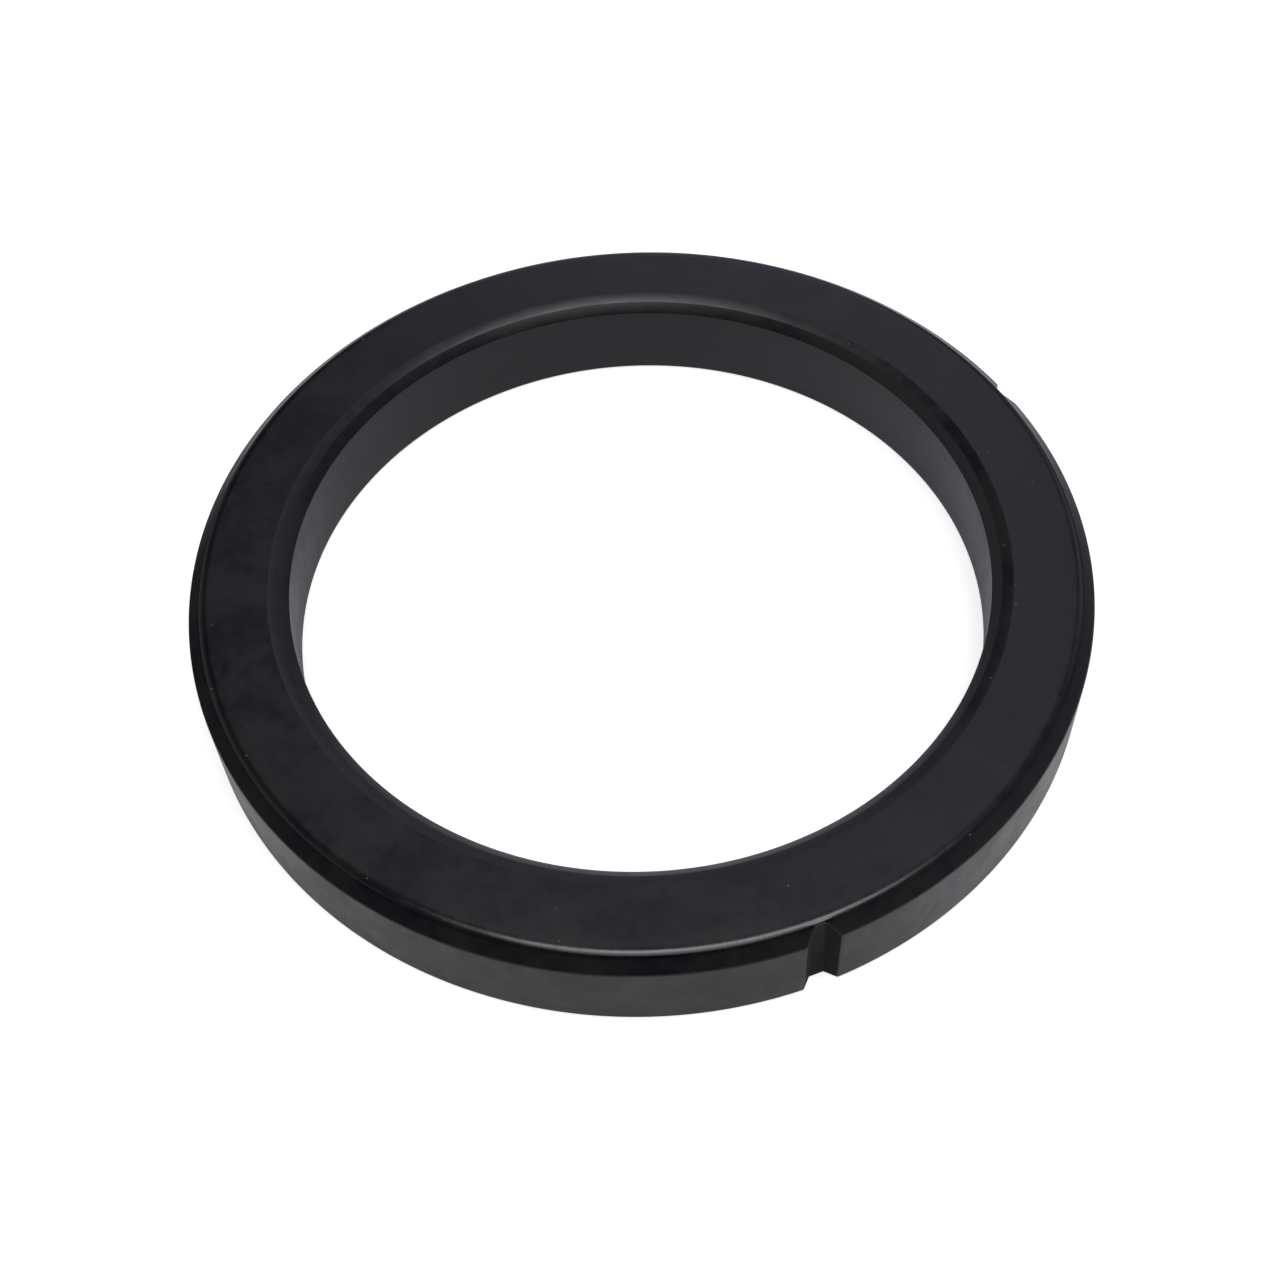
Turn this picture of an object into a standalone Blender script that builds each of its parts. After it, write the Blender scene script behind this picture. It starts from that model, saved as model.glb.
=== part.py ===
"""Group head gasket: a black rubber ring, moulded in one piece, that seals a filter holder in its group head.

It lies flat on its seat face. Its upper side has a bevel around the outside and a sloping lip around the bore.
Two channels run up the outer wall, so that a tool can reach behind the ring and pull it out of its groove.

Metres, with +Z up. The origin is on the ring's axis, in the plane of the seat face.
"""

from math import radians, sin, tan

import bmesh
import bpy
from mathutils import Vector

# The ring as a whole, measured on the seat face; its bore is 57 mm across
OUTER_DIAMETER = 0.0730
SECTION_WIDTH = 0.0080
HEIGHT = 0.0080

# Both walls lean towards the axis as they rise
WALL_DRAFT = radians(0.6)
BORE_DRAFT = radians(1.5)

# The bevel between the outer wall and the sealing face, with a narrow rounded land along its crest
BEVEL_WIDTH = 0.00108
BEVEL_DROP = 0.00104
BEVEL_FOOT_RADIUS = 0.00040
LAND_WIDTH = 0.00036
LAND_TILT = radians(17)
LAND_INNER_RADIUS = 0.00140
LAND_OUTER_RADIUS = 0.00060

# The lip between the sealing face and the bore: a gentle slope, then a steep nose, both crowned
SLOPE_WIDTH = 0.00086
SLOPE_TILT = radians(18.5)
SLOPE_CROWN = 0.00003
NOSE_WIDTH = 0.00074
NOSE_DROP = 0.00071
NOSE_CROWN = 0.00004

# The small round where each wall meets the seat face
SEAT_EDGE_RADIUS = 0.00020

# The pull-out channels in the outer wall, their depth and floor width measured at the seat face
CHANNEL_AZIMUTHS = (radians(-71.2), radians(26.8))
CHANNEL_DEPTH = 0.00082
CHANNEL_FLOOR_WIDTH = 0.00118
CHANNEL_FLANK_ANGLE = radians(43)
CHANNEL_FLOOR_DRAFT = radians(1.9)
CHANNEL_FLOOR_FILLET = 0.00015
CHANNEL_MOUTH_RADIUS = 0.00020
CHANNEL_OVERRUN = 0.00100

# How finely round shapes are divided
RING_STEPS = 144
EDGE_STEPS = 3
LIP_STEPS = 4
MOUTH_STEPS = 4

# The finish of the rubber
RUBBER_COLOUR = (0.016, 0.016, 0.018, 1.0)
RUBBER_ROUGHNESS = 0.42

OUTER_RADIUS = OUTER_DIAMETER / 2
BORE_RADIUS = OUTER_RADIUS - SECTION_WIDTH


def new_collection(name):
    collection = bpy.data.collections.new(name)
    bpy.context.scene.collection.children.link(collection)
    return collection


def rubber_material():
    material = bpy.data.materials.new("black_rubber")
    material.use_nodes = True
    shader = material.node_tree.nodes["Principled BSDF"]
    shader.inputs["Base Color"].default_value = RUBBER_COLOUR
    shader.inputs["Roughness"].default_value = RUBBER_ROUGHNESS
    shader.inputs["Metallic"].default_value = 0.0
    return material


def rounded_corner(before, corner, after, radius, steps):
    """The arc that replaces the corner between two straight sides."""
    back = (before - corner).normalized()
    ahead = (after - corner).normalized()
    half_angle = back.angle(ahead) / 2
    centre = corner + (back + ahead).normalized() * radius / sin(half_angle)
    first = corner + back * radius / tan(half_angle) - centre
    last = corner + ahead * radius / tan(half_angle) - centre
    return [centre + radius * first.slerp(last, k / steps) for k in range(steps + 1)]


def crowned_line(start, end, crown, steps):
    """An arc from start to end that stands proud of the straight line by crown, on its left."""
    chord = end - start
    radius = (chord.length_squared / 4 + crown**2) / (2 * crown)
    left = Vector((-chord.y, chord.x)).normalized()
    centre = (start + end) / 2 - left * (radius - crown)
    first = start - centre
    last = end - centre
    return [centre + radius * first.slerp(last, k / steps) for k in range(steps + 1)]


def ring_section():
    """The ring's cross-section as (radius, height) points, from the land down the outer wall and round."""
    land_drop = LAND_WIDTH * tan(LAND_TILT)
    bevel_foot_height = HEIGHT - land_drop - BEVEL_DROP
    bevel_foot_radius = OUTER_RADIUS - bevel_foot_height * tan(WALL_DRAFT)
    slope_drop = SLOPE_WIDTH * tan(SLOPE_TILT)
    nose_foot_height = HEIGHT - slope_drop - NOSE_DROP
    nose_foot_radius = BORE_RADIUS - nose_foot_height * tan(BORE_DRAFT)

    bevel_foot = Vector((bevel_foot_radius, bevel_foot_height))
    bevel_top = bevel_foot + Vector((-BEVEL_WIDTH, BEVEL_DROP))
    land_top = bevel_top + Vector((-LAND_WIDTH, land_drop))
    outer_seat_edge = Vector((OUTER_RADIUS, 0.0))
    bore_seat_edge = Vector((BORE_RADIUS, 0.0))
    nose_foot = Vector((nose_foot_radius, nose_foot_height))
    slope_foot = nose_foot + Vector((NOSE_WIDTH, NOSE_DROP))
    slope_top = slope_foot + Vector((SLOPE_WIDTH, slope_drop))

    points = rounded_corner(slope_top, land_top, bevel_top, LAND_INNER_RADIUS, EDGE_STEPS)
    points += rounded_corner(land_top, bevel_top, bevel_foot, LAND_OUTER_RADIUS, EDGE_STEPS)
    points += rounded_corner(bevel_top, bevel_foot, outer_seat_edge, BEVEL_FOOT_RADIUS, EDGE_STEPS)
    points += rounded_corner(bevel_foot, outer_seat_edge, bore_seat_edge, SEAT_EDGE_RADIUS, EDGE_STEPS)
    points += rounded_corner(outer_seat_edge, bore_seat_edge, nose_foot, SEAT_EDGE_RADIUS, EDGE_STEPS)
    points += crowned_line(nose_foot, slope_foot, NOSE_CROWN, LIP_STEPS)
    points += crowned_line(slope_foot, slope_top, SLOPE_CROWN, LIP_STEPS)[1:]
    return points


def turned_ring(name, section, collection):
    """A closed section turned once around the Z axis."""
    count = len(section)
    mesh = bpy.data.meshes.new(name)
    corners = [(point.x, 0.0, point.y) for point in section]
    edges = [(k, (k + 1) % count) for k in range(count)]
    mesh.from_pydata(corners, edges, [])

    ring = bpy.data.objects.new(name, mesh)
    collection.objects.link(ring)
    turn = ring.modifiers.new("turn", "SCREW")
    turn.steps = RING_STEPS
    turn.render_steps = RING_STEPS
    turn.use_smooth_shade = True
    return ring


def channel_outline(height):
    """Plan of the channel at a height, as corners around it, with its mouth on the wall's line at that height."""
    wall_line = OUTER_RADIUS - height * tan(WALL_DRAFT)
    floor_line = OUTER_RADIUS - CHANNEL_DEPTH - height * tan(CHANNEL_FLOOR_DRAFT)
    flank_slope = tan(CHANNEL_FLANK_ANGLE)
    mouth_half_width = CHANNEL_FLOOR_WIDTH / 2 + CHANNEL_DEPTH * flank_slope
    floor_half_width = mouth_half_width - (wall_line - floor_line) * flank_slope

    floor_middle = Vector((floor_line, 0.0))
    floor_corner = Vector((floor_line, floor_half_width))
    mouth_corner = Vector((wall_line, mouth_half_width))
    beside_mouth = mouth_corner + Vector((0.0, 2 * CHANNEL_MOUTH_RADIUS))
    outside_mouth = beside_mouth + Vector((CHANNEL_OVERRUN, 0.0))

    side = rounded_corner(floor_middle, floor_corner, mouth_corner, CHANNEL_FLOOR_FILLET, EDGE_STEPS)
    side += rounded_corner(floor_corner, mouth_corner, beside_mouth, CHANNEL_MOUTH_RADIUS, MOUTH_STEPS)
    side += [beside_mouth, outside_mouth]
    other_side = [Vector((point.x, -point.y)) for point in reversed(side)]
    return [(point.x, point.y, height) for point in side + other_side]


def channel_cutter(name, azimuth, collection):
    """A bar lofted between the channel's plans below and above the ring, turned to its azimuth."""
    shape = bmesh.new()
    plans = (channel_outline(-CHANNEL_OVERRUN), channel_outline(HEIGHT + CHANNEL_OVERRUN))
    lower, upper = [[shape.verts.new(corner) for corner in plan] for plan in plans]
    for k in range(len(lower)):
        shape.faces.new((lower[k - 1], lower[k], upper[k], upper[k - 1]))
    shape.faces.new(lower)
    shape.faces.new(upper)
    bmesh.ops.recalc_face_normals(shape, faces=shape.faces)
    mesh = bpy.data.meshes.new(name)
    shape.to_mesh(mesh)
    shape.free()

    cutter = bpy.data.objects.new(name, mesh)
    collection.objects.link(cutter)
    cutter.rotation_euler.z = azimuth
    cutter.hide_render = True
    cutter.display_type = "WIRE"
    return cutter


def cut_channels(ring, cutters):
    """Takes every cutter of the collection away from the ring."""
    cut = ring.modifiers.new("pull_out_channels", "BOOLEAN")
    cut.operation = "DIFFERENCE"
    cut.solver = "EXACT"
    cut.operand_type = "COLLECTION"
    cut.collection = cutters


def even_shading(ring):
    """Lets the flat faces keep flat shading beside their small rounds."""
    shading = ring.modifiers.new("even_shading", "WEIGHTED_NORMAL")
    shading.keep_sharp = True


def build_gasket():
    gasket_parts = new_collection("group_head_gasket")
    cutters = new_collection("channel_cutters")

    gasket = turned_ring("gasket", ring_section(), gasket_parts)
    gasket.data.materials.append(rubber_material())
    for number, azimuth in enumerate(CHANNEL_AZIMUTHS, start=1):
        channel_cutter(f"channel_cutter_{number}", azimuth, cutters)
    cut_channels(gasket, cutters)
    even_shading(gasket)


for leftover in list(bpy.data.objects):
    bpy.data.objects.remove(leftover)
build_gasket()
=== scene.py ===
"""Looks of the group head gasket: a black rubber ring lying on a plain white floor, under soft studio light.

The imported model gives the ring's height. Everything here is in metres, with +Z up, and the ring's axis stands on the
origin. The ring as a whole and its pull-out channels have the sizes of the part's source. The section follows the
source to 0.03 mm, and adds what shows only as highlights: the sealing face rolls off towards its crest, the lip is
a little sharper, and its creases are rounded.
"""

from collections import namedtuple
from math import cos, pi, radians, sin, tan

import bmesh
import bpy
from mathutils import Matrix, Vector


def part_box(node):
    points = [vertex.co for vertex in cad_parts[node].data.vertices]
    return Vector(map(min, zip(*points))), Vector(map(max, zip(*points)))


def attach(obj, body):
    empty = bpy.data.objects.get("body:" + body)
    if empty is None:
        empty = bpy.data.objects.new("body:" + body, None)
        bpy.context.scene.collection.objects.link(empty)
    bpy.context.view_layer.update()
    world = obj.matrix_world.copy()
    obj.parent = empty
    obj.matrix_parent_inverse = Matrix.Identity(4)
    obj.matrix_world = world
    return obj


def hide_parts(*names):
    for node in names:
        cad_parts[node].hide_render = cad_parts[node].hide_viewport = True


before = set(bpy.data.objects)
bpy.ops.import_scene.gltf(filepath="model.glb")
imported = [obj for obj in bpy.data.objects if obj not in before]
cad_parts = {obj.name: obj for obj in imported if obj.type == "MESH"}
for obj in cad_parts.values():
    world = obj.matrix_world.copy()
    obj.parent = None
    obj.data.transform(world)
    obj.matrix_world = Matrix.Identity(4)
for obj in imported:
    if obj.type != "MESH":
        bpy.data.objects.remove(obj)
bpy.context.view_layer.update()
lowest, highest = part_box("gasket")

# The ring as a whole
HEIGHT = highest.z - lowest.z
OUTER_RADIUS = 0.0365
BORE_RADIUS = 0.0285
WALL_DRAFT = radians(0.6)
BORE_DRAFT = radians(1.5)

# The bevel outside the sealing face, with a narrow land along its crest
BEVEL_WIDTH = 0.00108
BEVEL_DROP = 0.00104
BEVEL_FOOT_RADIUS = 0.00040
LAND_WIDTH = 0.00036
LAND_TILT = radians(17)
LAND_INNER_RADIUS = 0.00140
LAND_OUTER_RADIUS = 0.00060

# The sealing face falls away a little before it meets the land
ROLL_WIDTH = 0.00110
ROLL_DROP = 0.000025
ROLL_CROWN = 0.00000625

# The lip inside the sealing face: a gentle slope, then a steep nose, both crowned
SLOPE_WIDTH = 0.00086
SLOPE_TILT = radians(20)
SLOPE_CROWN = 0.000014
NOSE_WIDTH = 0.00074
NOSE_DROP = 0.00068
NOSE_CROWN = 0.000018
CREASE_RADIUS = 0.00008

# The small round where each wall meets the seat face
SEAT_EDGE_RADIUS = 0.00020

# The pull-out channels in the outer wall, their depth and floor width measured at the seat face
CHANNEL_AZIMUTHS = (radians(-71.2), radians(26.8))
CHANNEL_DEPTH = 0.00082
CHANNEL_FLOOR_WIDTH = 0.00118
CHANNEL_FLANK_ANGLE = radians(43)
CHANNEL_FLOOR_DRAFT = radians(1.9)
CHANNEL_FLOOR_FILLET = 0.00015
CHANNEL_MOUTH_RADIUS = 0.00020

# How finely the mesh is divided. A round at either end of a crowned line takes up some of the line's steps.
PLAIN_COLUMN_STEP = radians(0.5)
ROUND_STEPS = 6
LIP_STEPS = 12
ROLL_STEPS = 10
FLAT_ROWS = 4
STEPS_IN_ROUND = 2

# Where the finish changes
BEVEL_FOOT_HEIGHT = HEIGHT - ROLL_DROP - LAND_WIDTH * tan(LAND_TILT) - BEVEL_DROP
LAND_MIDDLE_RADIUS = OUTER_RADIUS - HEIGHT * tan(WALL_DRAFT) - BEVEL_WIDTH - LAND_WIDTH / 2
LIP_EDGE_RADIUS = BORE_RADIUS - HEIGHT * tan(BORE_DRAFT) + NOSE_WIDTH + SLOPE_WIDTH
DEEPEST_CHANNEL_RADIUS = OUTER_RADIUS - CHANNEL_DEPTH - HEIGHT * tan(CHANNEL_FLOOR_DRAFT)

# The rubber's colour, from cool to warm across a span of the mottling
COOL_RUBBER = (0.0034, 0.0036, 0.0064, 1.0)
WARM_RUBBER = (0.0084, 0.0072, 0.0074, 1.0)
MOTTLE_SPAN = (0.36, 0.64)

# The patterns on it, as repeats per millimetre, and how much of the mottling each of the coarse ones makes up
CLOUDS_PER_MM = 0.16
BLOTCHES_PER_MM = 0.9
GRAIN_PER_MM = 7.0
WAVES_PER_MM = 0.2
CLOUDS_SHARE = 0.6
BLOTCHES_SHARE = 0.4

# The dust: cells of which some hold a speck, a speck's radius as a share of its cell, how ragged its edge is, and how
# much a surface has to face upwards to hold it
DUST_COLOUR = (0.13, 0.13, 0.125, 1.0)
DUST_CELLS_PER_MM = 0.30
EMPTY_CELLS_SHARE = 0.80
SPECK_SIZES = (0.006, 0.022)
SPECK_WOBBLE = 0.12
DUSTY_UPWARD = 0.75
DUST_ROUGHENING = 0.4

# The rubber's roughness, and how the land, the lip and the channels differ, by distance in millimetres
SATIN_ROUGHNESS = (0.37, 0.49)
SATIN_SPAN = (0.32, 0.68)
LAND_POLISH = 0.54
LAND_POLISH_SPAN = (0.15, 0.55)
LIP_POLISH = 0.82
LIP_POLISH_REACH = 0.2
CHANNEL_ROUGHENING = 0.50
CHANNEL_MARGIN = 0.03
INSIDE_WALL_SPAN = (0.02, 0.10)
BELOW_BEVEL_SPAN = (0.04, 0.12)
ABOVE_SEAT_SPAN = (0.02, 0.10)

# The relief, from the highest to the lowest point of each pattern
WAVES_HEIGHT = 0.000030
BLOTCHES_HEIGHT = 0.0000060
GRAIN_HEIGHT = 0.0000012

# The camera stands where the photograph was taken from
CAMERA_PLACE = Vector((0.0, -0.08992, 0.12208))
CAMERA_AIM = Vector((-0.00023, -0.00287, 0.0))
CAMERA_ROLL = radians(-2.93)
CAMERA_LENS_MM = 50.62
CAMERA_CLIP_START = 0.01

# Two lamps, level rectangles overhead: a bright strip and a dimmer one in front of it
STRIP_PLACE = Vector((0.08, -0.06, 1.2))
STRIP_SIZE = (0.76, 0.25)
STRIP_RADIANCE = 7.5
FILL_PLACE = Vector((0.09, -0.50, 1.2))
FILL_SIZE = (0.78, 0.66)
FILL_RADIANCE = 1.90
LAMP_COLOUR = (1.0, 1.0, 1.04)

# The room around, by direction: x points right, y away from the camera and z up. Its window is a bright patch high up
# behind the ring. It lies where x plus a share of y is large, as far as an edge on its right, and fades at its foot.
WINDOW_SLANT = 0.907
WINDOW_LEFT_EDGE = (0.49, 0.68)
WINDOW_RIGHT_EDGE = (0.205, 0.295)
WINDOW_FOOT = (0.693, 0.943)
WINDOW_FOOT_SHARE = 0.17
WINDOW_RADIANCE = 1.19
DARK_RADIANCE = 0.03
RIGHT_RADIANCE = 0.155
FRONT_EDGE = (-0.80, -0.50)

# Dim patches of the room: one on the left, whose foot sinks towards the back, one low behind the ring, and one behind
# on the right
LEFT_RADIANCE = 0.38
LEFT_EDGE = (-0.80, -0.44)
LEFT_FOOT = (0.22, 0.50)
LEFT_FOOT_LEAN = 0.45
HORIZON_RADIANCE = 0.5
HORIZON_EDGE = (0.70, 0.95)
HORIZON_TOP = (0.12, 0.38)
CORNER_RADIANCE = 0.42
CORNER_EDGE = (0.42, 0.58)
CORNER_BACK = (0.30, 0.50)
CORNER_FOOT = (0.25, 0.42)

# The room's colour: nearly neutral, and bluer in the window
ROOM_TINT = (1.0, 0.99, 1.06, 1.0)
WINDOW_TINT = (1.02, 0.97, 1.20, 1.0)
TINT_SPAN = (0.40, 0.75)

# White paper for the floor and the backdrop
WHITE = (1.0, 1.0, 1.0, 1.0)
PAPER_COLOUR = (0.9, 0.9, 0.9, 1.0)
PAPER_ROUGHNESS = 0.9
FLOOR_REACH = 3.0
FLOOR_LEVEL = -0.00002
FLOOR_WHITENESS = 0.66
BACKDROP_WHITENESS = 0.80
BACKDROP_RADIUS = 2.6
BACKDROP_SEGMENTS = 48
BACKDROP_RINGS = 24

# The sheet that the ring reflects, whose glow is painted light: its edges, and how brightly it glows inside the ring,
# dimmer there as painted shade, and outside
BOUNCE_LEFT = -0.045
BOUNCE_RIGHT = 0.049
BOUNCE_FRONT = -0.13
BOUNCE_BACK = 0.12
BOUNCE_LEVEL = -0.00004
GLOW_INSIDE = (0.045, 0.09)
GLOW_INSIDE_SPAN = (-0.020, 0.015)
GLOW_RIGHTWARDS = (0.12, 0.58)
GLOW_RIGHTWARDS_SPAN = (0.004, 0.050)
GLOW_FAR_LEFT = (0.40, 0.0)
GLOW_FAR_LEFT_SPAN = (-0.052, -0.016)
TINT_INSIDE = (0.90, 1.0, 1.28, 1.0)
TINT_OUTSIDE = WHITE

MM_PER_METRE = 1000.0

Column = namedtuple("Column", "seat_azimuth seat_depth top_azimuth top_depth")


def rounded_corner(before, corner, after, radius, steps):
    """The arc that replaces the corner between two straight sides."""
    back = (before - corner).normalized()
    ahead = (after - corner).normalized()
    half_angle = back.angle(ahead) / 2
    centre = corner + (back + ahead).normalized() * radius / sin(half_angle)
    first = corner + back * radius / tan(half_angle) - centre
    last = corner + ahead * radius / tan(half_angle) - centre
    return [centre + radius * first.slerp(last, k / steps) for k in range(steps + 1)]


def crowned_line(start, end, crown, steps):
    """An arc from start to end that stands proud of the straight line by crown, on its left."""
    chord = end - start
    radius = (chord.length_squared / 4 + crown**2) / (2 * crown)
    left = Vector((-chord.y, chord.x)).normalized()
    centre = (start + end) / 2 - left * (radius - crown)
    first = start - centre
    last = end - centre
    return [centre + radius * first.slerp(last, k / steps) for k in range(steps + 1)]


def between(start, end, rows):
    """Points that divide a straight side, without its two ends."""
    return [start.lerp(end, k / rows) for k in range(1, rows)]


def channel_profile(height):
    """Half of the channel's plan at a height, from its middle outwards, as (distance along the wall, depth)."""
    flank_slope = tan(CHANNEL_FLANK_ANGLE)
    depth = CHANNEL_DEPTH + height * (tan(CHANNEL_FLOOR_DRAFT) - tan(WALL_DRAFT))
    mouth_half_width = CHANNEL_FLOOR_WIDTH / 2 + CHANNEL_DEPTH * flank_slope
    floor_middle = Vector((0.0, depth))
    floor_corner = Vector((mouth_half_width - depth * flank_slope, depth))
    mouth_corner = Vector((mouth_half_width, 0.0))
    beside_mouth = Vector((mouth_half_width + CHANNEL_MOUTH_RADIUS, 0.0))
    half = [floor_middle]
    half += rounded_corner(floor_middle, floor_corner, mouth_corner, CHANNEL_FLOOR_FILLET, ROUND_STEPS)
    half += rounded_corner(floor_corner, mouth_corner, beside_mouth, CHANNEL_MOUTH_RADIUS, ROUND_STEPS)
    half.append(beside_mouth)
    return half


def channel_columns(azimuth):
    """The columns of a channel, in order of rising azimuth. Each leans a little, to follow the channel's edges."""
    half = [
        Column(seat.x / OUTER_RADIUS, seat.y, top.x / OUTER_RADIUS, top.y)
        for seat, top in zip(channel_profile(0.0), channel_profile(HEIGHT))
    ]
    mirrored = [Column(-c.seat_azimuth, c.seat_depth, -c.top_azimuth, c.top_depth) for c in reversed(half[1:])]
    return [
        Column(azimuth + c.seat_azimuth, c.seat_depth, azimuth + c.top_azimuth, c.top_depth)
        for c in mirrored + half
    ]


def ring_columns():
    """Every column of the ring, once round: the channels' own and plain ones at equal steps between them."""
    columns = []
    channels = [channel_columns(azimuth) for azimuth in CHANNEL_AZIMUTHS]
    for number, channel in enumerate(channels):
        columns += channel
        following = channels[(number + 1) % len(channels)]
        start = channel[-1].seat_azimuth
        end = following[0].seat_azimuth
        if end < start:
            end += 2 * pi
        steps = round((end - start) / PLAIN_COLUMN_STEP)
        for k in range(1, steps):
            azimuth = start + (end - start) * k / steps
            columns.append(Column(azimuth, 0.0, azimuth, 0.0))
    return columns


def ring_section(column):
    """The section of one column as (radius, height) points, from the land down the outer wall and round."""
    land_drop = LAND_WIDTH * tan(LAND_TILT)
    crest_height = HEIGHT - ROLL_DROP - land_drop
    plain_foot_radius = OUTER_RADIUS - (crest_height - BEVEL_DROP) * tan(WALL_DRAFT)
    slope_drop = SLOPE_WIDTH * tan(SLOPE_TILT)
    nose_foot_height = HEIGHT - slope_drop - NOSE_DROP
    nose_foot_radius = BORE_RADIUS - nose_foot_height * tan(BORE_DRAFT)

    # In a channel the bevel is shorter, because it ends where it meets the channel's floor, and so are its rounds
    seat_radius = OUTER_RADIUS - column.seat_depth
    top_radius = OUTER_RADIUS - HEIGHT * tan(WALL_DRAFT) - column.top_depth
    wall_run = (seat_radius - top_radius) / HEIGHT
    bevel_top = Vector((plain_foot_radius - BEVEL_WIDTH, crest_height))
    wall_beside = top_radius + (HEIGHT - crest_height) * wall_run
    share = (wall_beside - bevel_top.x) / (BEVEL_WIDTH - BEVEL_DROP * wall_run)
    bevel_foot = Vector((wall_beside + share * BEVEL_DROP * wall_run, bevel_top.y - share * BEVEL_DROP))
    bevel_top_radius = LAND_OUTER_RADIUS * min(1.0, 2 * share)
    bevel_foot_radius = BEVEL_FOOT_RADIUS * share

    land_top = bevel_top + Vector((-LAND_WIDTH, land_drop))
    roll_start = land_top + Vector((-ROLL_WIDTH, ROLL_DROP))
    outer_edge = Vector((seat_radius, 0.0))
    bore_edge = Vector((BORE_RADIUS, 0.0))
    nose_foot = Vector((nose_foot_radius, nose_foot_height))
    slope_foot = nose_foot + Vector((NOSE_WIDTH, NOSE_DROP))
    slope_top = slope_foot + Vector((SLOPE_WIDTH, slope_drop))

    # Where a crowned line leaves the round at its start, and where it enters the round at its end
    leaves = STEPS_IN_ROUND
    enters = -1 - STEPS_IN_ROUND
    roll = crowned_line(roll_start, land_top, ROLL_CROWN, ROLL_STEPS)
    nose = crowned_line(nose_foot, slope_foot, NOSE_CROWN, LIP_STEPS)
    slope = crowned_line(slope_foot, slope_top, SLOPE_CROWN, LIP_STEPS)
    land_top_round = rounded_corner(roll[enters], roll[-1], bevel_top, LAND_INNER_RADIUS, ROUND_STEPS)
    bevel_top_round = rounded_corner(land_top, bevel_top, bevel_foot, bevel_top_radius, ROUND_STEPS)
    foot_round = rounded_corner(bevel_top, bevel_foot, outer_edge, bevel_foot_radius, ROUND_STEPS)
    outer_round = rounded_corner(bevel_foot, outer_edge, bore_edge, SEAT_EDGE_RADIUS, ROUND_STEPS)
    bore_round = rounded_corner(outer_edge, bore_edge, nose_foot, SEAT_EDGE_RADIUS, ROUND_STEPS)
    nose_foot_round = rounded_corner(bore_edge, nose[0], nose[leaves], CREASE_RADIUS, ROUND_STEPS)
    nose_top_round = rounded_corner(nose[enters], nose[-1], slope[leaves], CREASE_RADIUS, ROUND_STEPS)
    slope_top_round = rounded_corner(slope[enters], slope[-1], roll_start, CREASE_RADIUS, ROUND_STEPS)

    points = land_top_round + bevel_top_round
    points += between(bevel_top_round[-1], foot_round[0], FLAT_ROWS) + foot_round
    points += between(foot_round[-1], outer_round[0], FLAT_ROWS) + outer_round
    points += between(outer_round[-1], bore_round[0], FLAT_ROWS) + bore_round
    points += between(bore_round[-1], nose_foot_round[0], FLAT_ROWS) + nose_foot_round
    points += nose[leaves:-leaves] + nose_top_round
    points += slope[leaves:-leaves] + slope_top_round
    points += between(slope_top_round[-1], roll_start, FLAT_ROWS) + roll[:enters]
    return points


def ring_mesh():
    vertices = []
    columns = ring_columns()
    for column in columns:
        for point in ring_section(column):
            share = point.y / HEIGHT
            azimuth = column.seat_azimuth + share * (column.top_azimuth - column.seat_azimuth)
            vertices.append((point.x * cos(azimuth), point.x * sin(azimuth), point.y))
    rows = len(vertices) // len(columns)
    faces = []
    for c in range(len(columns)):
        here = c * rows
        beside = (c + 1) % len(columns) * rows
        for r in range(rows):
            below = (r + 1) % rows
            faces.append((here + r, here + below, beside + below, beside + r))
    mesh = bpy.data.meshes.new("rubber_ring")
    mesh.from_pydata(vertices, [], faces)
    mesh.shade_smooth()
    return mesh


class NodeMaker:
    """Adds nodes to one tree and joins them, with plain numbers wherever nothing is joined."""

    def __init__(self, tree):
        self.tree = tree

    def join(self, socket, value):
        if isinstance(value, bpy.types.NodeSocket):
            self.tree.links.new(value, socket)
        else:
            socket.default_value = value

    def add(self, kind, settings=None, **inputs):
        node = self.tree.nodes.new(kind)
        for name, value in (settings or {}).items():
            setattr(node, name, value)
        for name, value in inputs.items():
            self.join(node.inputs[name.replace("_", " ")], value)
        return node

    def axes(self, vector):
        return self.add("ShaderNodeSeparateXYZ", Vector=vector).outputs

    def maths(self, operation, first, *others):
        """One operation over the values, from the left."""
        for other in others or (0.0,):
            node = self.tree.nodes.new("ShaderNodeMath")
            node.operation = operation
            self.join(node.inputs[0], first)
            self.join(node.inputs[1], other)
            first = node.outputs[0]
        return first

    def noise(self, place, per_mm, detail=2.0, distortion=0.0):
        node = self.add("ShaderNodeTexNoise", Vector=place, Scale=per_mm, Detail=detail, Distortion=distortion)
        return node.outputs["Fac"]

    def ease(self, value, span, out=(0.0, 1.0)):
        """A smooth step from the first to the second number of out, across the span."""
        node = self.add("ShaderNodeMapRange", {"interpolation_type": "SMOOTHSTEP"}, Value=value)
        for name, number in zip(("From Min", "From Max", "To Min", "To Max"), span + out):
            node.inputs[name].default_value = number
        return node.outputs["Result"]

    def mix(self, share, first, second):
        return self.add("ShaderNodeMix", Factor=share, A=first, B=second).outputs["Result"]

    def mix_colour(self, share, first, second):
        settings = {"data_type": "RGBA"}
        return self.add("ShaderNodeMix", settings, Factor=share, A=first, B=second).outputs["Result"]

    def relief(self, pattern, height, **below):
        return self.add("ShaderNodeBump", Height=pattern, Distance=height, **below).outputs["Normal"]


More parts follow.
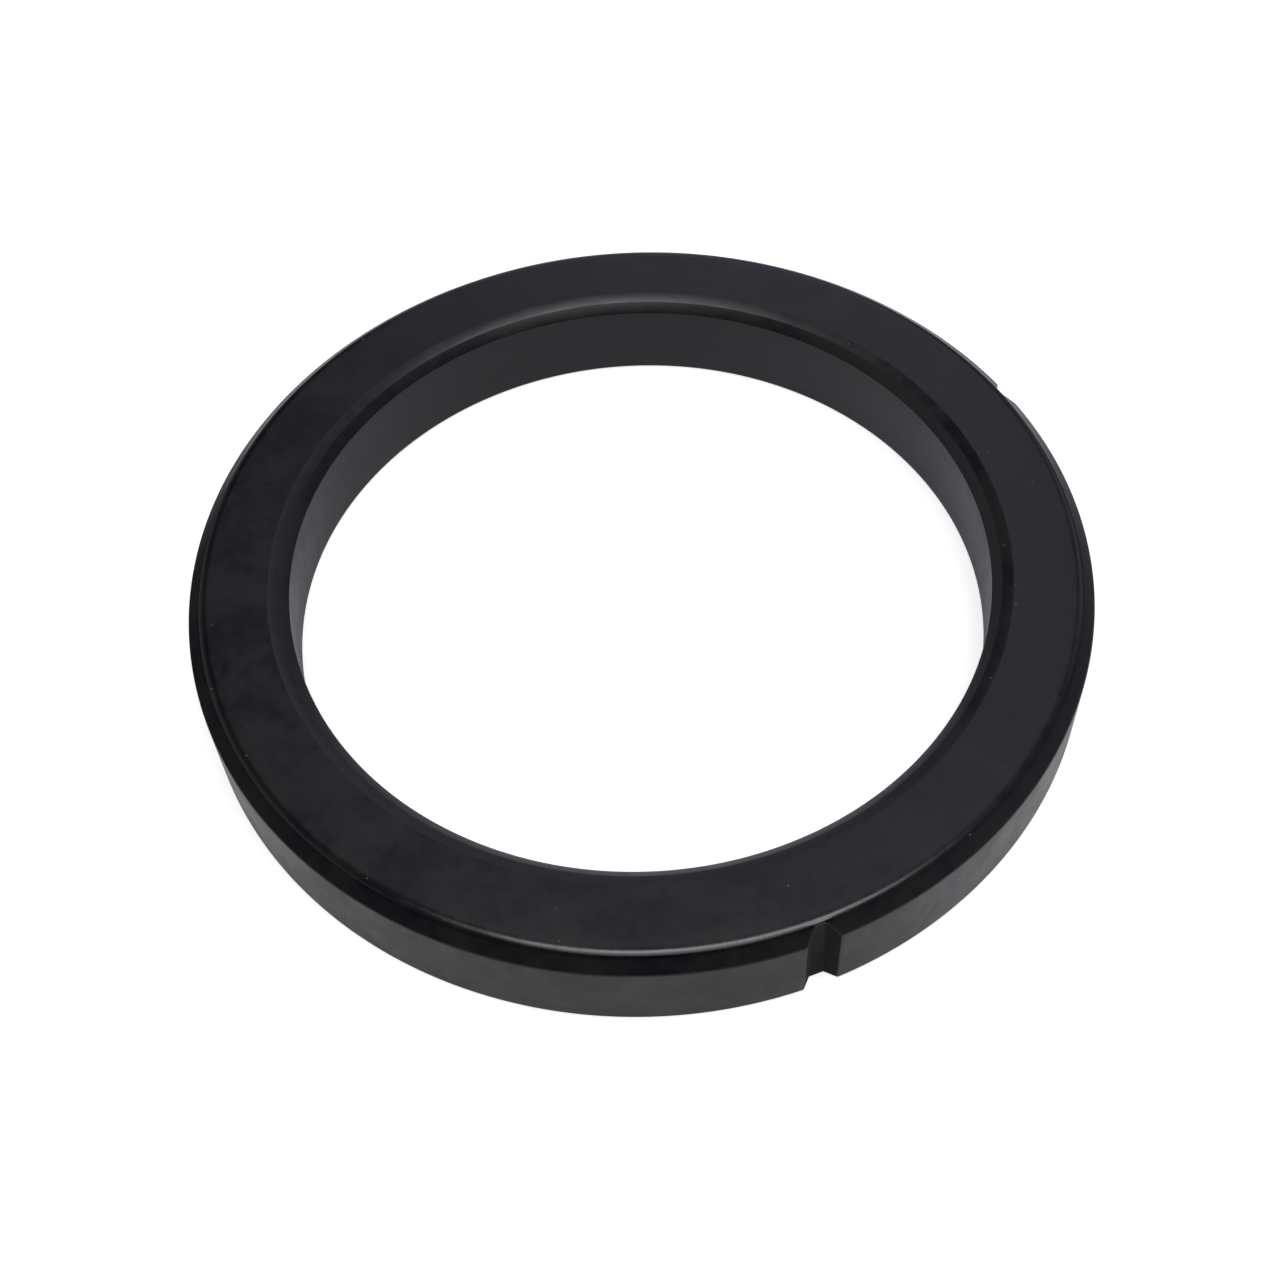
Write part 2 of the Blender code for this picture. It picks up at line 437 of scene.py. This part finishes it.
def dust_mask(make, place, grain):
    """1 on a few small specks, and 0 elsewhere. They lie only where the surface faces up."""
    shifted = make.add("ShaderNodeVectorMath", {"operation": "ADD"})
    make.join(shifted.inputs[0], place)
    make.join(shifted.inputs[1], make.maths("MULTIPLY", grain, SPECK_WOBBLE))
    cells = make.add(
        "ShaderNodeTexVoronoi",
        {"voronoi_dimensions": "2D"},
        Vector=shifted.outputs["Vector"],
        Scale=DUST_CELLS_PER_MM,
    )
    chance = make.add("ShaderNodeSeparateColor", Color=cells.outputs["Color"])
    chosen = make.maths("GREATER_THAN", chance.outputs["Red"], EMPTY_CELLS_SHARE)
    speck_size = make.ease(chance.outputs["Green"], (0.0, 1.0), SPECK_SIZES)
    near = make.maths("LESS_THAN", cells.outputs["Distance"], speck_size)
    normal = make.add("ShaderNodeNewGeometry").outputs["Normal"]
    upward = make.maths("GREATER_THAN", make.axes(normal)["Z"], DUSTY_UPWARD)
    return make.maths("MULTIPLY", chosen, near, upward)


def channel_mask(make, radius, height):
    """1 on the channels' own faces, which lie inside the outer wall's line and below the bevel's."""
    wall_lean = make.maths("MULTIPLY", height, tan(WALL_DRAFT))
    wall_radius = make.maths("SUBTRACT", OUTER_RADIUS * MM_PER_METRE, wall_lean)
    inset = make.maths("SUBTRACT", wall_radius, radius)
    bevel_rise = make.maths("MULTIPLY", inset, BEVEL_DROP / BEVEL_WIDTH)
    bevel_height = make.maths("ADD", bevel_rise, BEVEL_FOOT_HEIGHT * MM_PER_METRE)
    innermost = DEEPEST_CHANNEL_RADIUS * MM_PER_METRE - CHANNEL_MARGIN
    return make.maths(
        "MULTIPLY",
        make.ease(inset, INSIDE_WALL_SPAN),
        make.maths("GREATER_THAN", radius, innermost),
        make.ease(make.maths("SUBTRACT", bevel_height, height), BELOW_BEVEL_SPAN),
        make.ease(height, ABOVE_SEAT_SPAN),
    )


def rubber_material():
    """Satin blue-black rubber, faintly mottled and uneven, with a little dust.

    It is shinier along the land and the lip, and dull in the channels.
    """
    material = bpy.data.materials.new("satin_rubber")
    material.use_nodes = True
    shader = material.node_tree.nodes["Principled BSDF"]
    make = NodeMaker(material.node_tree)

    # Places on the ring in millimetres
    coordinates = make.add("ShaderNodeTexCoord").outputs["Object"]
    scaled = make.add("ShaderNodeVectorMath", {"operation": "SCALE"}, Vector=coordinates, Scale=MM_PER_METRE)
    place = scaled.outputs["Vector"]
    x, y, height = make.axes(place)
    squares = make.maths("ADD", make.maths("MULTIPLY", x, x), make.maths("MULTIPLY", y, y))
    radius = make.maths("SQRT", squares)

    # Mottling: clouds some millimetres across and smaller blotches. The grain is finer still.
    clouds = make.noise(place, CLOUDS_PER_MM, detail=3.0, distortion=0.6)
    blotches = make.noise(place, BLOTCHES_PER_MM, detail=3.0, distortion=0.4)
    grain = make.noise(place, GRAIN_PER_MM)
    cloudy = make.maths("MULTIPLY", clouds, CLOUDS_SHARE)
    mottle = make.maths("ADD", cloudy, make.maths("MULTIPLY", blotches, BLOTCHES_SHARE))
    body = make.mix_colour(make.ease(mottle, MOTTLE_SPAN), COOL_RUBBER, WARM_RUBBER)
    dust = dust_mask(make, place, grain)
    make.join(shader.inputs["Base Color"], make.mix_colour(dust, body, DUST_COLOUR))

    # Finish: satin with cloudy variation
    satin = make.ease(mottle, SATIN_SPAN, SATIN_ROUGHNESS)
    from_land = make.maths("ABSOLUTE", make.maths("SUBTRACT", radius, LAND_MIDDLE_RADIUS * MM_PER_METRE))
    land = make.ease(from_land, LAND_POLISH_SPAN, (LAND_POLISH, 1.0))
    lip_edge = LIP_EDGE_RADIUS * MM_PER_METRE
    lip = make.ease(radius, (lip_edge - LIP_POLISH_REACH, lip_edge + LIP_POLISH_REACH), (LIP_POLISH, 1.0))
    dusty = make.maths("MULTIPLY", dust, DUST_ROUGHENING)
    dull = make.maths("MULTIPLY", channel_mask(make, radius, height), CHANNEL_ROUGHENING)
    polished = make.maths("MULTIPLY", satin, land, lip)
    make.join(shader.inputs["Roughness"], make.maths("ADD", polished, dusty, dull))

    # Relief: slow waves left by the mould, small unevenness and fine grain
    waves = make.relief(make.noise(place, WAVES_PER_MM, detail=1.0), WAVES_HEIGHT)
    uneven = make.relief(blotches, BLOTCHES_HEIGHT, Normal=waves)
    make.join(shader.inputs["Normal"], make.relief(grain, GRAIN_HEIGHT, Normal=uneven))
    return material


def make_ring():
    ring = bpy.data.objects.new("rubber_ring", ring_mesh())
    bpy.context.scene.collection.objects.link(ring)
    ring.data.materials.append(rubber_material())
    shading = ring.modifiers.new("even_shading", "WEIGHTED_NORMAL")
    shading.keep_sharp = True
    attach(ring, "root")
    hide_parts("gasket")


def white_paper(name, glow):
    material = bpy.data.materials.new(name)
    material.use_nodes = True
    shader = material.node_tree.nodes["Principled BSDF"]
    shader.inputs["Base Color"].default_value = PAPER_COLOUR
    shader.inputs["Roughness"].default_value = PAPER_ROUGHNESS
    shader.inputs["Specular IOR Level"].default_value = 0.0
    shader.inputs["Emission Color"].default_value = WHITE
    shader.inputs["Emission Strength"].default_value = glow
    return material


def stage_piece(name, mesh, glow):
    """A piece of white paper for the studio, not attached to the object."""
    mesh.materials.append(white_paper(name, glow))
    piece = bpy.data.objects.new(name, mesh)
    bpy.context.scene.collection.objects.link(piece)
    return piece


def plain_sheet(name, left, right, front, back, level, glow):
    mesh = bpy.data.meshes.new(name)
    corners = [(left, front), (right, front), (right, back), (left, back)]
    mesh.from_pydata([(x, y, level) for x, y in corners], [], [(0, 1, 2, 3)])
    return stage_piece(name, mesh, glow)


def seen_by_camera_only(thing):
    thing.visible_glossy = False
    thing.visible_diffuse = False
    thing.visible_transmission = False
    thing.visible_shadow = False


def make_backdrop():
    """A pale dome far around the ring, for views near the level of the floor."""
    dome = bmesh.new()
    bmesh.ops.create_uvsphere(
        dome, u_segments=BACKDROP_SEGMENTS, v_segments=BACKDROP_RINGS, radius=BACKDROP_RADIUS
    )
    mesh = bpy.data.meshes.new("backdrop")
    dome.to_mesh(mesh)
    dome.free()
    mesh.shade_smooth()
    seen_by_camera_only(stage_piece("backdrop", mesh, BACKDROP_WHITENESS))


def make_floor():
    """The camera sees an even white floor. The ring reflects a glowing sheet instead, whose glow is painted light
    dimmer than the floor, and dimmest inside the ring as painted shade.
    """
    floor = plain_sheet(
        "floor", -FLOOR_REACH, FLOOR_REACH, -FLOOR_REACH, FLOOR_REACH, FLOOR_LEVEL, FLOOR_WHITENESS
    )
    seen_by_camera_only(floor)

    reflected = plain_sheet(
        "painted_floor_reflection", BOUNCE_LEFT, BOUNCE_RIGHT, BOUNCE_FRONT, BOUNCE_BACK, BOUNCE_LEVEL, 0.0
    )
    reflected.visible_camera = False
    tree = reflected.data.materials[0].node_tree
    make = NodeMaker(tree)
    coordinates = make.add("ShaderNodeTexCoord").outputs["Object"]
    from_axis = make.add("ShaderNodeVectorMath", {"operation": "LENGTH"}, Vector=coordinates).outputs["Value"]
    across = make.axes(coordinates)["X"]
    # Painted light: the sheet glows brighter to the right and far to the left, and dimmer and bluer inside the ring as
    # painted shade.
    outside = make.ease(from_axis, (BORE_RADIUS, OUTER_RADIUS))
    inside_glow = make.ease(across, GLOW_INSIDE_SPAN, GLOW_INSIDE)
    rightwards = make.ease(across, GLOW_RIGHTWARDS_SPAN, GLOW_RIGHTWARDS)
    far_left = make.ease(across, GLOW_FAR_LEFT_SPAN, GLOW_FAR_LEFT)
    outside_glow = make.maths("ADD", rightwards, far_left)
    shader = tree.nodes["Principled BSDF"]
    make.join(shader.inputs["Emission Strength"], make.mix(outside, inside_glow, outside_glow))
    make.join(shader.inputs["Emission Color"], make.mix_colour(outside, TINT_INSIDE, TINT_OUTSIDE))


def make_camera():
    camera = bpy.data.objects.new("camera", bpy.data.cameras.new("camera"))
    bpy.context.scene.collection.objects.link(camera)
    camera.data.lens = CAMERA_LENS_MM
    camera.data.clip_start = CAMERA_CLIP_START
    level = (CAMERA_AIM - CAMERA_PLACE).to_track_quat("-Z", "Y").to_matrix().to_4x4()
    camera.matrix_world = Matrix.Translation(CAMERA_PLACE) @ level @ Matrix.Rotation(CAMERA_ROLL, 4, "Z")
    bpy.context.scene.camera = camera


def strip_light(name, place, size, radiance):
    """A level rectangle of soft light that shines straight down."""
    lamp = bpy.data.lights.new(name, "AREA")
    lamp.shape = "RECTANGLE"
    lamp.size, lamp.size_y = size
    lamp.energy = pi * size[0] * size[1] * radiance
    lamp.color = LAMP_COLOUR
    light = bpy.data.objects.new(name, lamp)
    bpy.context.scene.collection.objects.link(light)
    light.location = place


def make_room():
    """The room: dark in front, with a bright window high up behind the ring, and dim patches beside and below it."""
    world = bpy.data.worlds.new("studio")
    world.use_nodes = True
    make = NodeMaker(world.node_tree)
    x, y, z = make.axes(make.add("ShaderNodeTexCoord").outputs["Generated"])
    across = make.maths("ADD", x, make.maths("MULTIPLY", y, WINDOW_SLANT))

    inner = make.ease(across, WINDOW_LEFT_EDGE, (DARK_RADIANCE, WINDOW_RADIANCE))
    window = make.mix(make.ease(x, WINDOW_RIGHT_EDGE), inner, RIGHT_RADIANCE)
    foot = make.ease(y, WINDOW_FOOT, (1.0, WINDOW_FOOT_SHARE))
    window = make.maths("MULTIPLY", window, make.ease(y, FRONT_EDGE), foot)

    leaning = make.maths("ADD", z, make.maths("MULTIPLY", y, LEFT_FOOT_LEAN))
    left = make.ease(x, LEFT_EDGE, (LEFT_RADIANCE, 0.0))
    left = make.maths("MULTIPLY", left, make.ease(leaning, LEFT_FOOT))
    horizon = make.ease(y, HORIZON_EDGE, (0.0, HORIZON_RADIANCE))
    horizon = make.maths("MULTIPLY", horizon, make.ease(z, HORIZON_TOP, (1.0, 0.0)))
    corner = make.ease(x, CORNER_EDGE, (0.0, CORNER_RADIANCE))
    corner = make.maths("MULTIPLY", corner, make.ease(y, CORNER_BACK), make.ease(z, CORNER_FOOT))

    background = world.node_tree.nodes["Background"]
    make.join(background.inputs["Color"], make.mix_colour(make.ease(across, TINT_SPAN), ROOM_TINT, WINDOW_TINT))
    make.join(background.inputs["Strength"], make.maths("ADD", window, left, horizon, corner))
    bpy.context.scene.world = world


make_ring()
make_floor()
make_backdrop()
make_camera()
make_room()
strip_light("overhead_strip", STRIP_PLACE, STRIP_SIZE, STRIP_RADIANCE)
strip_light("front_fill", FILL_PLACE, FILL_SIZE, FILL_RADIANCE)
bpy.context.scene.view_settings.view_transform = "Standard"
